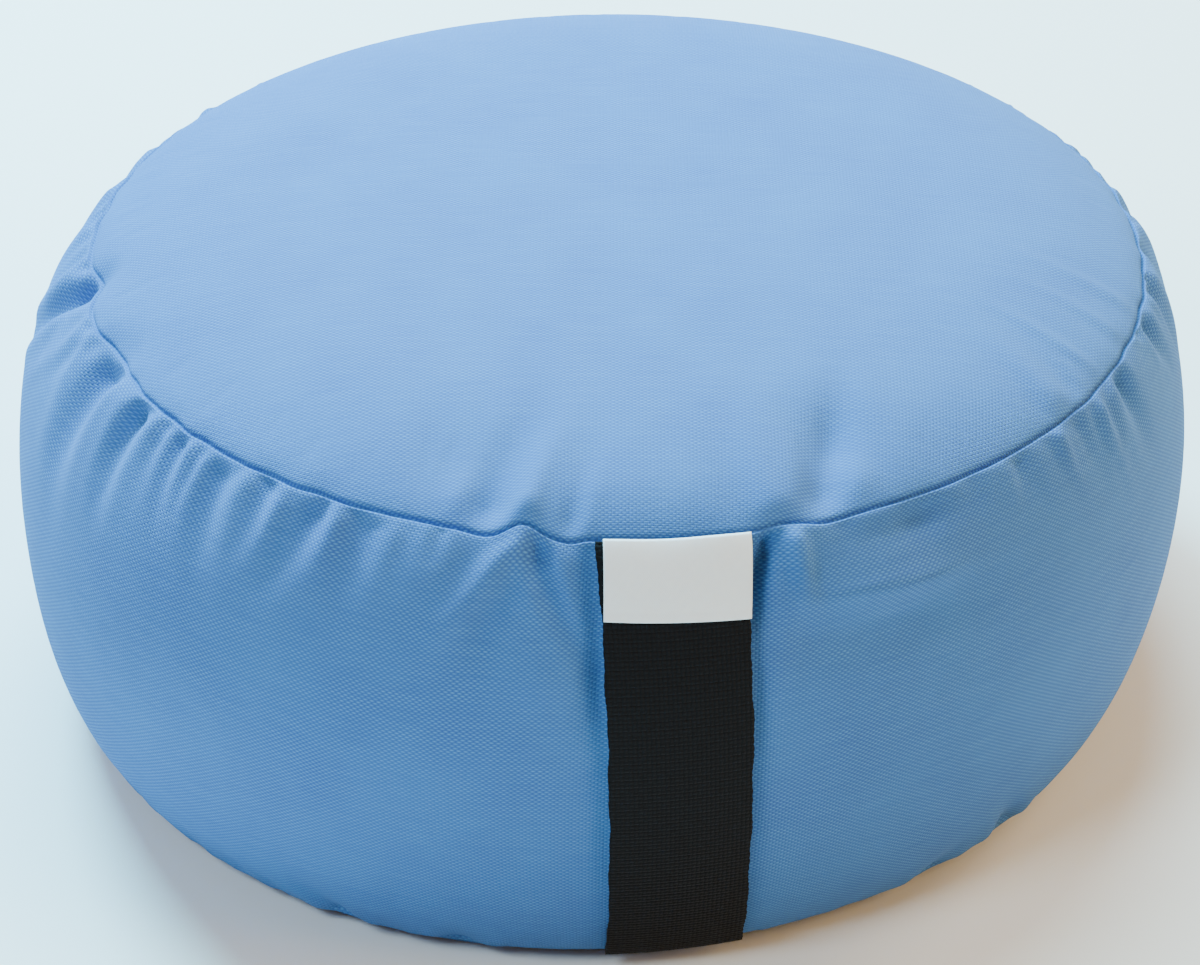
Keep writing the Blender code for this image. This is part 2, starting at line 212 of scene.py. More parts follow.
# at and slant are in degrees round from the handle; width, depth and reach in millimetres. A fold with a
# negative depth is a ridge. "dome" folds run up the top panel from its seam.
FOLDS = [
    dict(seam="top", at=-106, width=6.0, depth=4.0, reach=38, slant=8),
    dict(seam="top", at=-90, width=5.4, depth=8.0, reach=46, slant=-12),
    dict(seam="top", at=-81, width=4.0, depth=-1.6, reach=44, slant=-12),
    dict(seam="top", at=-74, width=6.5, depth=7.2, reach=54, slant=2),
    dict(seam="top", at=-64.5, width=4.2, depth=5.2, reach=46, slant=1),
    dict(seam="top", at=-59.5, width=2.4, depth=2.2, reach=20, slant=1),
    dict(seam="top", at=-57, width=3.0, depth=2.6, reach=34, slant=3),
    dict(seam="top", at=-50.3, width=4.6, depth=3.8, reach=44, slant=3),
    dict(seam="top", at=-43.5, width=3.2, depth=2.0, reach=28, slant=-2),
    dict(seam="top", at=-38.2, width=5.0, depth=3.8, reach=46, slant=-7),
    dict(seam="top", at=-32, width=4.6, depth=3.0, reach=40, slant=-3),
    dict(seam="top", at=-17.6, width=4.8, depth=-3.4, reach=60, slant=-19),
    dict(seam="top", at=-15.0, width=3.2, depth=4.2, reach=40, slant=8),
    dict(seam="top", at=9.8, width=2.4, depth=-2.6, reach=34, slant=3),
    dict(seam="top", at=24, width=6.0, depth=1.4, reach=26, slant=-2),
    dict(seam="top", at=37, width=4.0, depth=1.5, reach=26, slant=3),
    dict(seam="top", at=43, width=2.4, depth=-1.7, reach=30, slant=4),
    dict(seam="top", at=46.8, width=3.4, depth=1.8, reach=34, slant=4),
    dict(seam="top", at=50.6, width=2.6, depth=-2.0, reach=46, slant=6),
    dict(seam="top", at=57, width=4.4, depth=3.2, reach=42, slant=4),
    dict(seam="top", at=68, width=3.4, depth=2.8, reach=34, slant=6),
    dict(seam="top", at=76, width=4.2, depth=3.4, reach=40, slant=3),
    dict(seam="dome", at=-20.8, width=5.2, depth=3.9, reach=52, slant=3),
    dict(seam="dome", at=-16.6, width=3.6, depth=-1.7, reach=44, slant=4),
    dict(seam="dome", at=-12.2, width=2.8, depth=1.7, reach=36, slant=3),
    dict(seam="dome", at=8, width=5.5, depth=-1.4, reach=48, slant=4),
    dict(seam="dome", at=13.8, width=5.8, depth=4.2, reach=54, slant=17),
    dict(seam="dome", at=45.5, width=4.0, depth=-1.1, reach=46, slant=7),
    dict(seam="dome", at=49.0, width=3.0, depth=0.8, reach=40, slant=7),
    dict(seam="dome", at=54.0, width=2.2, depth=-0.9, reach=60, slant=2),
    dict(seam="dome", at=62.0, width=2.4, depth=-0.7, reach=50, slant=3),
    dict(seam="dome", at=68.0, width=2.8, depth=-0.8, reach=60, slant=5),
    dict(seam="base", at=-34, width=5.0, depth=2.8, reach=16, slant=-4),
    dict(seam="base", at=-22, width=6.0, depth=2.2, reach=14, slant=3),
    dict(seam="base", at=7.5, width=3.0, depth=1.6, reach=12, slant=1),
    dict(seam="base", at=30, width=6.0, depth=2.2, reach=18, slant=2),
    dict(seam="base", at=41, width=5.0, depth=3.2, reach=34, slant=-6),
]
BACK_FROM, BACK_TO, BACK_FOLDS = 84, 262, 19


def back_folds():
    """The same gathering round the back, evenly spaced and then varied by sines, alike on every run."""
    rows = []
    for i in range(BACK_FOLDS):
        wave = math.sin(2.4 * i + 0.7)
        rows.append(
            dict(
                seam="top",
                at=BACK_FROM + (BACK_TO - BACK_FROM) * i / (BACK_FOLDS - 1) + 1.6 * wave,
                width=6.4 + 0.7 * wave,
                depth=2.4 + 0.7 * math.sin(1.7 * i),
                reach=36 + 8 * math.cos(3.1 * i),
                slant=3 * math.sin(0.9 * i),
            )
        )
    return rows


print(len(FOLDS), "folds placed by hand and", BACK_FOLDS, "round the back")

# %% [markdown]
# Between the main folds lie the fine gathers, one for every 11 mm or so of seam. Easing cloth into a
# shorter edge makes them: they are sharp at the stitches and fade out within a finger's width. How
# strongly the cloth was eased differs round the cushion, so a second short table says where it is full
# and where it lies smooth, as it does to the right of the handle.

# %% Fine gathers along both seams
GATHERS_TOP, GATHERS_BASE = 88, 70
# degrees round from the handle, and how full the gathers are there
EASED_AT = (-180, -100, -34, -26, -12, 12, 24, 42, 60, 180)
EASED_FULL = (0.9, 1.0, 0.9, 0.5, 0.4, 0.4, 0.25, 0.3, 0.8, 0.9)


def eased(at):
    """How full the gathers are, from 0 to 1, at this angle."""
    return np.interp((at + 180) % 360 - 180, EASED_AT, EASED_FULL)


def gathers(seam, count, deep, reach):
    """Rows like the main folds, small and many, their unevenness again from sines."""
    rows = []
    for i in range(count):
        at = 360 * i / count + 1.1 * math.sin(2.9 * i) + 0.8 * math.sin(5.3 * i + 1)
        rows.append(
            dict(
                seam=seam,
                at=at,
                width=2.7 + 0.7 * math.sin(1.9 * i),
                depth=deep * eased(at) * (1 + 0.5 * math.sin(3.7 * i)),
                reach=reach * (1 + 0.45 * math.sin(4.1 * i + 2)),
                slant=1.5 * math.sin(1.3 * i),
            )
        )
    return rows


all_folds = FOLDS + back_folds()
all_folds += gathers("top", GATHERS_TOP, 1.5, 19) + gathers("base", GATHERS_BASE, 0.55, 10)
print(len(all_folds), "folds and gathers in all")

# %% [markdown]
# Hands and filling leave dents in the dome and the band. A dent is a soft oval hollow, and a puff is the
# same thing with a negative depth. One puff right of the handle has a sharp crest, because there the cloth
# is stretched over the edge of the filling. The seam isn't a true circle either: a few pulls move it, most
# of all left of the handle, where it stands up in a small peak. And the webbing pulls tight, so the looser
# canvas falls into a crease along each of its edges.

# %% Dents, puffs and pulls on the seam
# inward: mm in from the top seam over the dome. below: mm down the band. turned: degrees off the seam.
# power: 2 for a soft hollow, towards 1 for a sharp crest.
DENTS = [
    dict(inward=19, at=-26, along=13, across=12, depth=2.9, turned=-25),
    dict(inward=12, at=-6, along=24, across=8, depth=-0.7, turned=0),
    dict(inward=21, at=18.8, along=10, across=13, depth=4.2, turned=-25),
    dict(inward=8, at=31, along=22, across=10, depth=0.8, turned=0),
    dict(below=13, at=-24.5, along=10, across=10, depth=-1.0, turned=0),
    dict(below=24, at=-18.5, along=6, across=12, depth=1.5, turned=15),
    dict(below=35, at=-13.2, along=9, across=9, depth=-1.3, turned=0),
    dict(below=21, at=19.5, along=24, across=5.5, depth=-5.6, turned=3, power=1.05),
    dict(below=32, at=19, along=28, across=7, depth=3.0, turned=2),
    dict(below=7, at=23, along=18, across=4.5, depth=2.6, turned=0),
    dict(below=10, at=10.6, along=4, across=14, depth=-2.6, turned=12, power=1.4),
    dict(below=33, at=8.6, along=5, across=9, depth=-0.8, turned=0),
    dict(below=62, at=-30, along=60, across=26, depth=-1.0, turned=0),
    dict(below=26, at=-96, along=62, across=20, depth=-2.4, turned=0),
    dict(below=84, at=-98, along=70, across=28, depth=2.0, turned=0),
]
# at and width are in degrees, inward and up in millimetres.
SEAM_PULLS = [
    dict(at=-90, width=3.4, inward=3.8, up=-1.6),
    dict(at=-82, width=3, inward=-1.0, up=0.3),
    dict(at=-73.5, width=4, inward=2.4, up=-0.8),
    dict(at=-20.5, width=2.6, inward=-0.7, up=-0.9),
    dict(at=-16.8, width=2.1, inward=1.7, up=2.9),
    dict(at=-12.2, width=2.0, inward=-0.5, up=-0.8),
    dict(at=8.6, width=2.2, inward=0.5, up=0.9),
    dict(at=13.4, width=3.2, inward=-0.5, up=-0.7),
    dict(at=48, width=4.0, inward=-0.6, up=0.4),
]
PULL_REACH = 14  # how far from the seam a pull is felt
SEAM_WAVER, WAVER_REACH = 0.24, 5  # the small unevenness of the stitching, and how far it reaches
# side: -1 left, 1 right. middle and long: mm down the band. off, wide and depth: mm from the webbing's
# edge, to each side of there, and into the band. slant: mm further from the webbing for each mm down.
CREASES = [
    dict(side=-1, middle=37, long=13, off=0.6, wide=4.4, depth=3.6),
    dict(side=-1, middle=12, long=14, off=1.0, wide=3.6, depth=1.8),
    dict(side=-1, middle=84, long=40, off=0.6, wide=3.0, depth=1.0),
    dict(side=1, middle=9, long=13, off=4.8, wide=2.8, depth=6.0, slant=-0.34),
    dict(side=1, middle=40, long=26, off=1.6, wide=3.4, depth=1.6),
    dict(side=1, middle=90, long=40, off=0.6, wide=2.6, depth=0.8),
]
CREASE_UNDER, CREASE_EDGE = 1.4, 1.6  # where creases start under the webbing's edge, and come in over
CREASE_START = 3  # how far below the top seam they come in
print(len(DENTS), "dents and puffs,", len(SEAM_PULLS), "pulls on the seam,", len(CREASES), "creases")


# %% How deep the cloth is pressed in, in millimetres, at any angle and station
def smooth(x):
    """From 0 to 1 as x goes from 0 to 1, level at both ends."""
    x = np.clip(x, 0, 1)
    return x * x * (3 - 2 * x)


def turn_between(angle, other):
    """Degrees from one angle to another, the short way round."""
    return (angle - other + 180) % 360 - 180


def fold_depth(angle, line):
    """Of all the folds and gathers."""
    total = np.zeros(np.broadcast(angle, line["r"]).shape)
    for fold in all_folds:
        run = line["inward" if fold["seam"] == "dome" else fold["seam"]]
        share = MM * run / fold["reach"]
        off = turn_between(angle, fold["at"] + fold["slant"] * np.minimum(share, 1) ** FOLD_CURVE)
        side = MM * line["r"] * np.radians(off) / fold["width"]
        ridges = np.exp(-(((np.abs(side) - RIDGE_AT) / RIDGE_WIDE) ** 2))
        valley = np.exp(-(side**2)) - FOLD_RIDGE * ridges
        pressed = fold["depth"] * valley * smooth(share / FOLD_DEEPEST)
        total += pressed * np.clip(1 - share, 0, 1) ** FOLD_FADE
    return total


def dent_depth(angle, line):
    """Of the dents and puffs, each an oval turned on the cloth."""
    total = np.zeros(np.broadcast(angle, line["r"]).shape)
    for dent in DENTS:
        place, run = ("inward", line["inward"]) if "inward" in dent else ("below", line["top"])
        along = MM * line["r"] * np.radians(turn_between(angle, dent["at"]))
        down = MM * run - dent[place]
        turned = math.radians(dent["turned"])
        u = (along * math.cos(turned) + down * math.sin(turned)) / dent["along"]
        v = (down * math.cos(turned) - along * math.sin(turned)) / dent["across"]
        total += dent["depth"] * np.exp(-u * u - np.abs(v) ** dent.get("power", 2))
    return total


def webbing_middle(line):
    """The angle of the webbing's middle, which hangs straight although the band leans."""
    risen = np.clip(line["z"] / TOP_SEAM_Z, 0, 1)
    hangs_at = HANDLE_BASE_X + (HANDLE_TOP_X - HANDLE_BASE_X) * risen
    radius = np.maximum(line["r"], 0.1)  # the middle of the dome has no radius to divide by
    return np.degrees(np.arcsin((hangs_at - LEAN * risen**LEAN_POWER) / radius))


def crease_depth(angle, line):
    """Of the loose canvas along the webbing's edges."""
    off = turn_between(angle, webbing_middle(line))
    outside = MM * (line["r"] * np.radians(np.abs(off)) - WEBBING_WIDTH / 2)
    total = np.zeros(outside.shape)
    for crease in CREASES:
        drift = crease.get("slant", 0) * (MM * line["top"] - crease["middle"])
        across = np.exp(-(((outside - crease["off"] - drift) / crease["wide"]) ** 2))
        along = np.exp(-(((MM * line["top"] - crease["middle"]) / crease["long"]) ** 2))
        total += crease["depth"] * across * along * (off * crease["side"] > 0)
    from_edge = smooth((outside + CREASE_UNDER) / CREASE_EDGE)
    return total * from_edge * smooth(MM * line["top"] / CREASE_START)


seams = {name: values[[TOP_SEAM, BASE_SEAM]] for name, values in meridian.items()}
print("webbing's middle at the two seams:", np.round(webbing_middle(seams), 2), "degrees")


# %% Where the cloth lies
def seam_pull(angle, line, beside):
    """Millimetres that the seam and the cloth near it are pulled in and up."""
    run = MM * np.minimum(line["inward"], line["top"])
    near = 1 - smooth(run / PULL_REACH)
    around = np.radians(angle)
    # 47 and 73 waves round the seam, the second drifting, so that no stretch repeats another
    waver = np.sin(47 * around + 1) + 0.8 * np.sin(73 * around + 2 * np.sin(5 * around))
    pull_in = SEAM_WAVER * waver * eased(angle) * beside * (1 - smooth(run / WAVER_REACH))
    pull_up = 0.0
    for pull in SEAM_PULLS:
        share = np.exp(-((turn_between(angle, pull["at"]) / pull["width"]) ** 2)) * near * beside
        pull_in, pull_up = pull_in + pull["inward"] * share, pull_up + pull["up"] * share
    return pull_in, pull_up


def skin(angle, line, cleft=True, folds=True, creases=True):
    """Where the stuffed cloth lies, for arrays of angles in degrees and stations of the meridian."""
    beside = smooth((np.abs(turn_between(angle, webbing_middle(line))) - STRAP_HALF) / STRAP_FADE)
    depth = dent_depth(angle, line)
    if folds:
        depth = depth + fold_depth(angle, line)
    depth = np.where(line["top"] < ELSEWHERE, depth * beside, depth)
    if creases:
        depth = depth + crease_depth(angle, line)
    if cleft:
        from_seam = np.minimum(np.minimum(line["inward"], line["top"]), line["base"])
        depth = depth + MM * GROOVE_DEEP * np.exp(-((from_seam / GROOVE_WIDE) ** 2))
    pull_in, pull_up = seam_pull(angle, line, beside)
    radius = line["r"] - (depth * line["out"] + pull_in) / MM
    height = line["z"] + (pull_up - depth * line["up"]) / MM
    risen = np.minimum(line["z"] / TOP_SEAM_Z, 1.0)
    height = height + HIGH_RISE * np.cos(np.radians(angle - HIGH_SIDE)) * risen * line["r"] / TOP_SEAM_RADIUS
    oval = np.cos(np.radians(2 * (angle - FULL_SIDE)))
    radius = radius * (1 + FULL_SWELL * oval * (1 - risen**SWELL_POWER))
    around = np.radians(angle)
    x = radius * np.sin(around) + LEAN * risen**LEAN_POWER
    y = -radius * np.cos(around) + SET_BACK * risen**LEAN_POWER
    return np.stack([x, y, np.maximum(height, 0)], axis=-1)


print("the two seams in front, in metres:", np.round(skin(np.zeros(2), seams), 4).tolist())

# %% [markdown]
# The folds above are only a start. Real gathers share the spare cloth out among themselves, so the next
# step lets Blender's cloth solver do that on a plainer copy of the cover.
#
# The trick is in the rest shape. The solver takes each thread's own length from it, and there the band is
# cut longer near its seams than the rim it is sewn to. The seams are held, the filling presses outwards,
# and the spare length has to buckle into folds. The copy is a regular grid, so afterwards its movement can
# be read at any angle and distance from the seam, and given to the finer cover.

# %% A spun cover, and its points as rows and columns
def spun_cover(name, line, steps):
    """The line spun once round into a closed skin, each point keeping the number of its station."""
    bm = bmesh.new()
    mark = bm.verts.layers.int.new("station")
    verts = []
    for index, (r, z) in enumerate(zip(line["r"], line["z"])):
        vert = bm.verts.new((0, -r, z))
        vert[mark] = index
        verts.append(vert)
    edges = [bm.edges.new(pair) for pair in zip(verts, verts[1:])]
    bmesh.ops.spin(
        bm,
        geom=verts + edges,
        cent=(0, 0, 0),
        axis=(0, 0, 1),
        angle=2 * math.pi,
        steps=steps,
        use_merge=True,
    )
    bmesh.ops.remove_doubles(bm, verts=bm.verts[:], dist=1e-6)
    bmesh.ops.contextual_create(bm, geom=[edge for edge in bm.edges if edge.is_boundary])
    bmesh.ops.recalc_face_normals(bm, faces=bm.faces[:])
    mesh = bpy.data.meshes.new(name)
    bm.to_mesh(mesh)
    bm.free()
    return mesh


def points_of(mesh):
    flat = np.empty(3 * len(mesh.vertices))
    mesh.vertices.foreach_get("co", flat)
    return flat.reshape(-1, 3)


def move_points(mesh, points):
    mesh.vertices.foreach_set("co", np.ascontiguousarray(points).ravel())
    mesh.update()


def stations_and_angles(mesh):
    """The station and the angle in degrees of each point of a cover that has only been spun."""
    station = np.empty(len(mesh.vertices), np.int32)
    mesh.attributes["station"].data.foreach_get("value", station)
    points = points_of(mesh)
    return station, np.degrees(np.arctan2(points[:, 0], -points[:, 1]))


# %% The copy for the cloth pass
PLAIN_STEPS, PLAIN_DOME_ROWS, PLAIN_BAND_ROWS = 360, 16, 48
FREE_DOME = 0.060  # how far in from the seam the dome's cloth may move

free_shares = np.linspace(1 - FREE_DOME / TOP_SEAM_RADIUS, 1, PLAIN_DOME_ROWS + 1)
plain_line = whole_line(np.r_[0, 0.3, free_shares], np.linspace(0, 1, PLAIN_BAND_ROWS + 1))
PLAIN_TOP_SEAM = 2 + PLAIN_DOME_ROWS
PLAIN_BASE_SEAM = PLAIN_TOP_SEAM + PLAIN_BAND_ROWS
plain_mesh = spun_cover("plain_cover", plain_line, PLAIN_STEPS)
plain_station, plain_angle = stations_and_angles(plain_mesh)
column = np.round(plain_angle * PLAIN_STEPS / 360).astype(int) % PLAIN_STEPS
vertex_at = np.zeros((len(plain_line["r"]), PLAIN_STEPS), int)
vertex_at[plain_station, column] = np.arange(len(column))
vertex_at[0] = np.flatnonzero(plain_station == 0)[0]
grid_angle = np.arange(PLAIN_STEPS) * 360 / PLAIN_STEPS
row_line = {name: values[:, None] for name, values in plain_line.items()}
print("plain cover:", len(column), "points in", vertex_at.shape[0], "rows")


# %% The length the cloth was cut to
EASE_TOP, EASE_TOP_REACH = 0.10, 0.045  # spare length as a share of the rim, and how far down it goes
EASE_BASE, EASE_BASE_REACH = 0.03, 0.020


def ease_share(line, angles):
    """How much longer than the rim the band was cut, at each row and column."""
    top = EASE_TOP * (1 - smooth(line["top"] / EASE_TOP_REACH)) * eased(angles)
    low = EASE_BASE * (1 - smooth(line["base"] / EASE_BASE_REACH)) * eased(angles)
    return np.where(line["top"] < ELSEWHERE, top + low, 0)


def cut_shape():
    """A shape whose rows round the band are longer, and whose columns keep their length."""
    smooth_skin = skin(grid_angle, row_line, cleft=False, folds=False)
    wide = smooth_skin.copy()
    wide[..., :2] *= 1 + ease_share(row_line, grid_angle)[..., None]
    rows = slice(PLAIN_TOP_SEAM, PLAIN_BASE_SEAM + 1)
    run = np.linalg.norm(np.diff(smooth_skin[rows], axis=0), axis=2)
    sideways = np.linalg.norm(np.diff(wide[rows, :, :2], axis=0), axis=2)
    # what goes sideways is taken off the drop, which keeps at least a fifth of the run
    drop = np.sqrt(np.maximum(run**2 - sideways**2, (0.2 * run) ** 2))
    wide[rows.start + 1 : rows.stop, :, 2] = wide[PLAIN_TOP_SEAM, :, 2] - np.cumsum(drop, axis=0)
    return wide


def to_vertices(grid):
    """The grid's points in the order of the plain cover's vertices."""
    points = np.zeros((len(plain_mesh.vertices), 3))
    points[vertex_at] = grid
    return points


def round_trip(row_points):
    """The length of a closed row of points, in metres."""
    return round(float(np.linalg.norm(row_points - np.roll(row_points, 1, axis=0), axis=1).sum()), 4)


start_grid = skin(grid_angle, row_line, cleft=False)
cut_grid = cut_shape()
for row in (PLAIN_TOP_SEAM + 2, PLAIN_TOP_SEAM + 8, PLAIN_TOP_SEAM + 20):
    print("row", row, "is", round_trip(start_grid[row]), "m round and cut to", round_trip(cut_grid[row]))


# %% The cloth pass
FRAMES = 26
MOVE_CAP = 0.006  # the furthest that a point may move
FULLY_EASED = 0.85  # how full the gathers are where all of the movement is kept


def sewn_down():
    """Which points of the grid are held: the seams, the middle of the dome, the base, under the webbing."""
    row = np.arange(len(plain_line["r"]))[:, None]
    on_band = row_line["top"] < ELSEWHERE
    still = ~on_band & (row_line["inward"] > FREE_DOME - 0.001)  # so that the row at its edge counts
    still = still | (row == PLAIN_TOP_SEAM - 1) | (row == PLAIN_TOP_SEAM) | (row >= PLAIN_BASE_SEAM)
    under_webbing = np.abs(turn_between(grid_angle, webbing_middle(row_line))) < STRAP_HALF
    return still | (on_band & under_webbing)


def pressed_out():
    """The plain cover's grid after the filling has pressed it out."""
    obj = bpy.data.objects.new("plain_cover", plain_mesh)
    bpy.context.collection.objects.link(obj)
    move_points(plain_mesh, to_vertices(start_grid))
    obj.shape_key_add(name="sewn")
    cut = obj.shape_key_add(name="cut")
    cut.data.foreach_set("co", to_vertices(cut_grid).ravel())
    group = obj.vertex_groups.new(name="held")
    group.add([int(v) for v in np.unique(vertex_at[sewn_down()])], 1.0, "REPLACE")
    cloth_pass = obj.modifiers.new("filling", "CLOTH")
    cloth = cloth_pass.settings
    cloth.quality = 6
    cloth.mass = 0.0004
    # stiff to stretch and soft to bend, and damped enough to settle within the frames
    cloth.air_damping = 2
    cloth.tension_stiffness, cloth.compression_stiffness = 20, 20
    cloth.shear_stiffness, cloth.bending_stiffness = 4, 0.02
    cloth.tension_damping = cloth.compression_damping = 5
    cloth.shear_damping, cloth.bending_damping = 5, 0.5
    cloth.use_pressure = True
    cloth.uniform_pressure_force = 60
    cloth.vertex_group_mass = "held"
    cloth.rest_shape_key = cut
    cloth.effector_weights.gravity = 0
    for step in range(1, FRAMES + 1):
        bpy.context.scene.frame_set(step)
    solved = obj.evaluated_get(bpy.context.evaluated_depsgraph_get())
    points = points_of(solved.data)
    bpy.data.objects.remove(obj)
    bpy.context.scene.frame_set(1)
    return points[vertex_at]


moved = np.zeros_like(start_grid)
moved = pressed_out() - start_grid
far = np.linalg.norm(moved, axis=2)
print("cloth moved", round(MM * far.mean(), 2), "mm on average,", round(MM * far.max(), 2), "at most")
# where hardly any cloth was eased in, as right of the handle, it stays as it was laid
share = smooth(eased(grid_angle) / FULLY_EASED) * np.minimum(far, MOVE_CAP) / np.maximum(far, 1e-9)
moved *= share[..., None]

# %% [markdown]
# Now the cover itself. The line goes round with a spin, closed into one skin, and each point moves to
# where the cloth lies. The three panels are one closed, stuffed form, and keep a cloth finish each.
#
# Each face corner also gets its place on the flat panel it was cut from, in metres. The weave is drawn
# from that, so the threads run as they would in cut cloth: straight across the top panel, and round the
# band, crowding together where it is gathered.

# %% The stuffed cover
def run_of(line):
    """One distance for the whole line: below the top seam on the band, and minus on the dome."""
    on_dome = line["inward"] < ELSEWHERE
    return np.where(line["top"] < ELSEWHERE, line["top"], np.where(on_dome, -line["inward"], ELSEWHERE))


def movement(angles, line):
    """The cloth pass's movement at any angle and station, read between its rows and columns."""
    rows = np.interp(run_of(line), run_of(plain_line), np.arange(len(plain_line["r"])))
    columns = angles * PLAIN_STEPS / 360
    row, col = np.floor(rows).astype(int), np.floor(columns).astype(int)
    next_row = np.minimum(row + 1, len(plain_line["r"]) - 1)
    down, along = (rows - row)[:, None], (columns - col)[:, None]
    col, next_col = col % PLAIN_STEPS, (col + 1) % PLAIN_STEPS
    upper = moved[row, col] * (1 - along) + moved[row, next_col] * along
    lower = moved[next_row, col] * (1 - along) + moved[next_row, next_col] * along
    return upper * (1 - down) + lower * down


cover_mesh = spun_cover("cushion_cover", meridian, SEGMENTS)
station, angle = stations_and_angles(cover_mesh)
vertex_line = {name: values[station] for name, values in meridian.items()}
move_points(cover_mesh, skin(angle, vertex_line) + movement(angle, vertex_line))
print("cover:", len(cover_mesh.vertices), "points")

# %% Where each face corner lies on its flat panel
corner_vertex = np.empty(len(cover_mesh.loops), np.int32)
cover_mesh.loops.foreach_get("vertex_index", corner_vertex)
corner_count = np.empty(len(cover_mesh.polygons), np.int32)
cover_mesh.polygons.foreach_get("loop_total", corner_count)
corner_face = np.repeat(np.arange(len(corner_count)), corner_count)
face_station = np.zeros(len(corner_count), np.int32)
np.maximum.at(face_station, corner_face, station[corner_vertex])
panel = (face_station > TOP_SEAM).astype(np.int32) + (face_station > BASE_SEAM)

corner_angle = angle[corner_vertex]
first_corner = np.r_[0, np.cumsum(corner_count)[:-1]]
# a face across the back, where the angle jumps from 180 to -180, keeps its corners on one side
from_first = turn_between(corner_angle, corner_angle[first_corner][corner_face])
corner_angle = corner_angle[first_corner][corner_face] + from_first
on_band = panel[corner_face] == 1
flat_run = meridian["flat"][station[corner_vertex]]
grain = np.radians(corner_angle) - CAMERA_TURN
across = np.where(on_band, np.radians(corner_angle) * WIDTH / 2, flat_run * np.sin(grain))
along = np.where(on_band, -flat_run, -flat_run * np.cos(grain))
weave_map = cover_mesh.uv_layers.new(name="weave")
weave_map.data.foreach_set("uv", np.c_[across, along].ravel())
cover_mesh.polygons.foreach_set("material_index", panel)
cover_mesh.shade_smooth()
print("faces in the top, band and base panels:", np.bincount(panel).tolist())

cover = bpy.data.objects.new("cushion_cover", cover_mesh)
bpy.context.collection.objects.link(cover)

# %% [markdown]
# The handle is a strip of flat woven webbing, caught in both seams. It follows the band all the way
# down, a hair off the cloth, so it starts as a flat grid that is bent onto the band's own line. Its edges
# aren't ruler straight: the crosswise yarn turns back at each edge, which leaves a row of small bumps.

# %% Bending a flat grid onto the front of the band
def band_stations(down):
    """The meridian read at these distances below the top seam."""
    run = slice(TOP_SEAM, BASE_SEAM + 1)
    return {name: np.interp(down, meridian["top"][run], values[run]) for name, values in meridian.items()}


def band_place(across, down, lift):
    """A point `across` metres right of the webbing's middle and `down` metres below the top seam."""
    middle = webbing_middle(band_stations(down))

    def spot(to_right, lower):
        near = band_stations(down + lower)
        turned = middle + np.degrees(np.arcsin((across + to_right) / near["r"]))
        return skin(turned, near, cleft=False, creases=False)

    step = 0.0005  # to the neighbours that give the band's slope here
    outward = np.cross(spot(0, -step) - spot(0, step), spot(-step, 0) - spot(step, 0))
    outward /= np.linalg.norm(outward, axis=-1, keepdims=True)
    return spot(0, 0) + outward * np.asarray(lift)[..., None]


def grid_sheet(name, columns, rows, place):
    """A grid with a weave map in metres, each point moved by place(column share, row share)."""
    bm = bmesh.new()
    bmesh.ops.create_grid(bm, x_segments=columns, y_segments=rows, size=0.5)
    flat = np.array([vert.co[:2] for vert in bm.verts]) + 0.5
    points, cut = place(flat[:, 0], 1 - flat[:, 1])
    weave = bm.loops.layers.uv.new("weave")
    for face in bm.faces:
        for loop in face.loops:
            loop[weave].uv = cut[loop.vert.index]
    for vert, point in zip(bm.verts, points):
        vert.co = point
    mesh = bpy.data.meshes.new(name)
    bm.to_mesh(mesh)
    bm.free()
    mesh.shade_smooth()
    obj = bpy.data.objects.new(name, mesh)
    bpy.context.collection.objects.link(obj)
    return obj


def thicken(obj, metres):
    """Gives a sheet its thickness, on its outer side."""
    solid = obj.modifiers.new("cloth thickness", "SOLIDIFY")
    solid.thickness, solid.offset = metres, 1
    solid.use_even_offset = True


# %% Webbing handle
SEAM_TUCK, BASE_TUCK = 0.0010, 0.0032  # how far short of each seam line the sewn ends stop
PICK, PICK_LIFT = 0.0024, 0.00005  # from one turn of the crosswise yarn to the next, and its height
EDGE_BUMP, EDGE_POWER = 0.00018, 24  # how uneven the edges are, and how closely that keeps to them
BOW_OUT, BOW_AT, BOW_LONG, BOW_POWER = 0.0005, 0.05, 0.03, 4  # the right edge swings out a little there
WEBBING_ROWS = 300


def webbing_place(column, row):
    """Where the webbing lies and its place in the weave, for shares of its width and length."""
    down = SEAM_TUCK + (band_long - SEAM_TUCK - BASE_TUCK) * row
    edge = np.abs(2 * column - 1) ** EDGE_POWER
    right = column > 0.5
    # a bump at each turn of the yarn, and two slow waves that never fall in step
    bump = 0.5 * np.sin(2 * np.pi * down / PICK + 2 * np.sin(300 * down) + 2 * right)
    bump += np.sin(210 * down + 3 * right) + 0.7 * np.sin(530 * down + right)
    bow = BOW_OUT * np.exp(-(((down - BOW_AT) / BOW_LONG) ** 2)) * right * (2 * column - 1) ** BOW_POWER
    across = (column - 0.5) * WEBBING_WIDTH + np.sign(column - 0.5) * edge * EDGE_BUMP * bump + bow
    lift = PIECE_GAP + PICK_LIFT * np.sin(2 * np.pi * down / PICK)
    return band_place(across, down, lift), np.c_[across, -down]


webbing = grid_sheet("webbing_handle", 48, WEBBING_ROWS, webbing_place)
thicken(webbing, WEBBING_THICK)
print("webbing", round(MM * band_long), "mm long,", len(webbing.data.polygons), "faces")

# %% [markdown]
# The label is a short length of satin ribbon, caught in the top seam over the end of the webbing. Real
# ribbon is thin, so it ripples a little along its upper edge and has a soft crease near its lower one.

